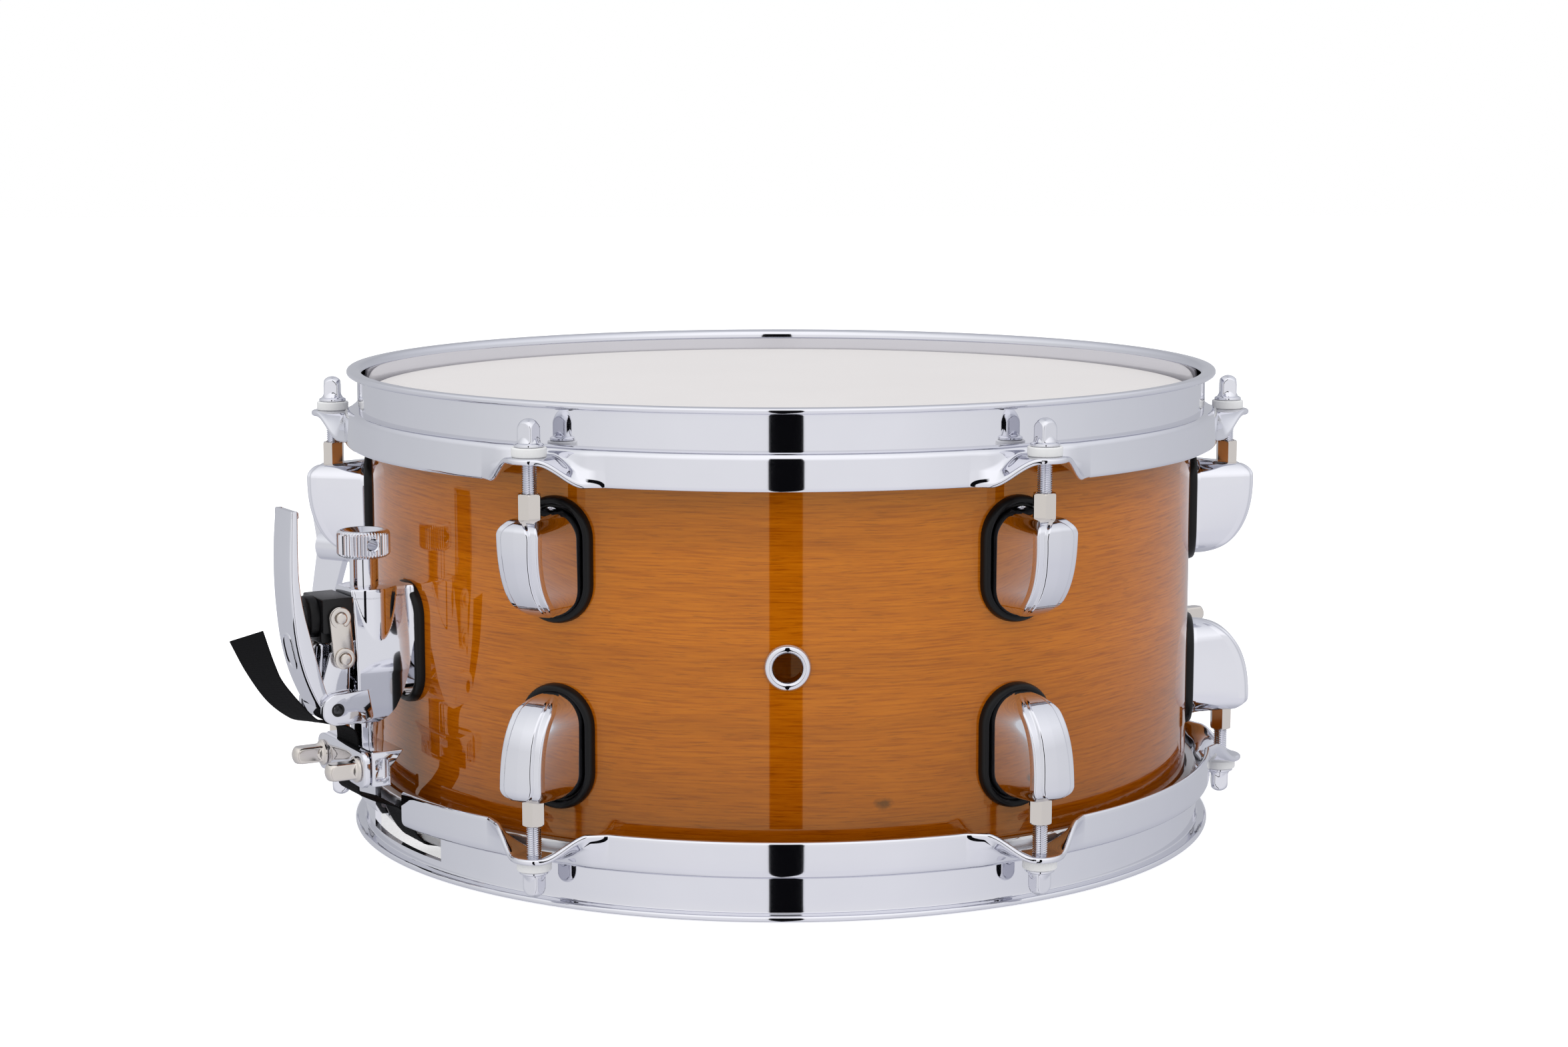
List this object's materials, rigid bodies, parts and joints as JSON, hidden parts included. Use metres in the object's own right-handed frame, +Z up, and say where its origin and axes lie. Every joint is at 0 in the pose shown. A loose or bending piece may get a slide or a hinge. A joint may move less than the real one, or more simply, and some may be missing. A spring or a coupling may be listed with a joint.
{
  "type": "snare drum",
  "caption": "Snare drum with a lacquered wood shell, triple-flanged chrome hoops, coated head, single-ended lugs, lever strainer with snare wires and a rod mounting bracket.",
  "frame": {"origin": "centre of the bottom hoop's rim, on the plane the drum rests on", "axes": "+Z up along the drum's axis to the batter head; -Y is the front with the air hole; the strainer is 60 degrees round to -X from the front"},
  "size_m": [0.3999, 0.349, 0.1824],
  "materials": {
    "lacquered_maple": "amber stain under high-gloss lacquer, grain round the shell",
    "chrome": "polished chrome plating",
    "zinc_steel": "bright nickel or zinc plating, satin",
    "coated_film": "white sprayed coating on polyester film, matt",
    "clear_film": "thin clear polyester film",
    "aluminium_hoop": "rolled aluminium, satin",
    "white_nylon": "moulded nylon",
    "black_rubber": "moulded rubber, satin",
    "black_plastic": "moulded acetal",
    "black_ribbon": "woven grosgrain ribbon",
    "wire_steel": "bright spring wire"
  },
  "bodies": {
    "root": {"batter_flesh_hoop": "aluminium_hoop", "batter_head_film": "coated_film", "batter_hoop": "chrome", "batter_lugs": "chrome", "batter_swivel_nuts": "zinc_steel", "batter_washers": "white_nylon", "bracket_body": "chrome", "bracket_gasket": "black_rubber", "butt_body": "chrome", "butt_clamp_plate": "chrome", "butt_gasket": "black_rubber", "butt_key_screws": "chrome", "butt_strap": "black_ribbon", "lug_gaskets": "black_rubber", "nut_retainers": "white_nylon", "shell": "lacquered_maple", "shell_screw_washers": "zinc_steel", "shell_screws": "zinc_steel", "snare_flesh_hoop": "aluminium_hoop", "snare_head_film": "clear_film", "snare_hoop": "chrome", "snare_lugs": "chrome", "snare_swivel_nuts": "zinc_steel", "snare_washers": "white_nylon", "strainer_body": "chrome", "strainer_gasket": "black_rubber", "strainer_pivot_pin": "zinc_steel", "vent_grommet": "chrome", "vent_lock_ring": "zinc_steel"},
    "lever": {"throw_lever": "chrome"},
    "slider": {"slider_block": "black_plastic", "slider_sleeve": "chrome", "lever_bumper": "black_rubber", "link_top_pin": "zinc_steel", "link_top_clips": "zinc_steel"},
    "links": {"link_plates": "zinc_steel", "link_low_pins": "zinc_steel", "link_low_clips": "zinc_steel"},
    "knob": {"tension_knob": "chrome"},
    "clamp": {"clamp_bracket": "chrome", "clamp_plate": "chrome", "clamp_key_screws": "chrome", "strap_tail": "black_ribbon", "strap_lower": "black_ribbon"},
    "wires": {"snare_wires": "wire_steel", "wire_end_plate_strainer": "wire_steel", "wire_end_plate_butt": "wire_steel"},
    "wing": {"bracket_wing_bolt": "chrome"},
    "batter_rod_1": {"batter_tension_rod_1": "chrome"},
    "batter_rod_2": {"batter_tension_rod_2": "chrome"},
    "batter_rod_3": {"batter_tension_rod_3": "chrome"},
    "batter_rod_4": {"batter_tension_rod_4": "chrome"},
    "batter_rod_5": {"batter_tension_rod_5": "chrome"},
    "batter_rod_6": {"batter_tension_rod_6": "chrome"},
    "snare_rod_1": {"snare_tension_rod_1": "chrome"},
    "snare_rod_2": {"snare_tension_rod_2": "chrome"},
    "snare_rod_3": {"snare_tension_rod_3": "chrome"},
    "snare_rod_4": {"snare_tension_rod_4": "chrome"},
    "snare_rod_5": {"snare_tension_rod_5": "chrome"},
    "snare_rod_6": {"snare_tension_rod_6": "chrome"}
  },
  "joints": [
    {"name": "lever_throw", "type": "hinge", "parent": "root", "child": "lever", "pos_m": [-0.17191, -0.09925, 0.0635], "axis": [0.5, -0.866, 0], "range_deg": [0, 45], "deforming": ["strap_tail"]},
    {"name": "slider_drop", "type": "slide", "parent": "root", "child": "slider", "axis": [0, 0, -1], "range_m": [0, 0.0104], "deforming": ["strap_lower"]},
    {"name": "link_swing", "type": "hinge", "parent": "slider", "child": "links", "pos_m": [-0.17035, -0.09835, 0.098], "axis": [0.5, -0.866, 0], "range_deg": [-63, 0]},
    {"name": "knob_turn", "type": "hinge", "parent": "slider", "child": "knob", "pos_m": [-0.15762, -0.091, 0.12], "axis": [0, 0, 1], "range_deg": [-1440, 1440]},
    {"name": "clamp_travel", "type": "slide", "parent": "slider", "child": "clamp", "axis": [0, 0, 1], "range_m": [-0.0032, 0.0032]},
    {"name": "wires_drop", "type": "hinge", "parent": "root", "child": "wires", "pos_m": [0.1299, 0.075, 0.007], "axis": [0.5, -0.866, 0], "range_deg": [0, 0.6]},
    {"name": "wing_turn", "type": "hinge", "parent": "root", "child": "wing", "pos_m": [-0.19053, 0.11, 0.0906], "axis": [-0.866, 0.5, 0], "continuous": true},
    {"name": "batter_rod_1_turn", "type": "hinge", "parent": "root", "child": "batter_rod_1", "pos_m": [-0.09043, 0.15662, 0.17], "axis": [0, 0, 1], "continuous": true},
    {"name": "batter_rod_2_turn", "type": "hinge", "parent": "root", "child": "batter_rod_2", "pos_m": [-0.18085, 0, 0.17], "axis": [0, 0, 1], "continuous": true},
    {"name": "batter_rod_3_turn", "type": "hinge", "parent": "root", "child": "batter_rod_3", "pos_m": [-0.09043, -0.15662, 0.17], "axis": [0, 0, 1], "continuous": true},
    {"name": "batter_rod_4_turn", "type": "hinge", "parent": "root", "child": "batter_rod_4", "pos_m": [0.09043, -0.15662, 0.17], "axis": [0, 0, 1], "continuous": true},
    {"name": "batter_rod_5_turn", "type": "hinge", "parent": "root", "child": "batter_rod_5", "pos_m": [0.18085, 0, 0.17], "axis": [0, 0, 1], "continuous": true},
    {"name": "batter_rod_6_turn", "type": "hinge", "parent": "root", "child": "batter_rod_6", "pos_m": [0.09043, 0.15662, 0.17], "axis": [0, 0, 1], "continuous": true},
    {"name": "snare_rod_1_turn", "type": "hinge", "parent": "root", "child": "snare_rod_1", "pos_m": [-0.09043, 0.15662, 0.0124], "axis": [0, 0, 1], "continuous": true},
    {"name": "snare_rod_2_turn", "type": "hinge", "parent": "root", "child": "snare_rod_2", "pos_m": [-0.18085, 0, 0.0124], "axis": [0, 0, 1], "continuous": true},
    {"name": "snare_rod_3_turn", "type": "hinge", "parent": "root", "child": "snare_rod_3", "pos_m": [-0.09043, -0.15662, 0.0124], "axis": [0, 0, 1], "continuous": true},
    {"name": "snare_rod_4_turn", "type": "hinge", "parent": "root", "child": "snare_rod_4", "pos_m": [0.09043, -0.15662, 0.0124], "axis": [0, 0, 1], "continuous": true},
    {"name": "snare_rod_5_turn", "type": "hinge", "parent": "root", "child": "snare_rod_5", "pos_m": [0.18085, 0, 0.0124], "axis": [0, 0, 1], "continuous": true},
    {"name": "snare_rod_6_turn", "type": "hinge", "parent": "root", "child": "snare_rod_6", "pos_m": [0.09043, 0.15662, 0.0124], "axis": [0, 0, 1], "continuous": true}
  ],
  "couplings": [
    {"joint": "slider_drop", "follows": "lever_throw", "m_per_rad": 0.013178},
    {"joint": "link_swing", "follows": "lever_throw", "ratio": -1.3867},
    {"joint": "wires_drop", "follows": "lever_throw", "ratio": 0.012667},
    {"joint": "knob_turn", "follows": "clamp_travel", "rad_per_m": -7854}
  ]
}
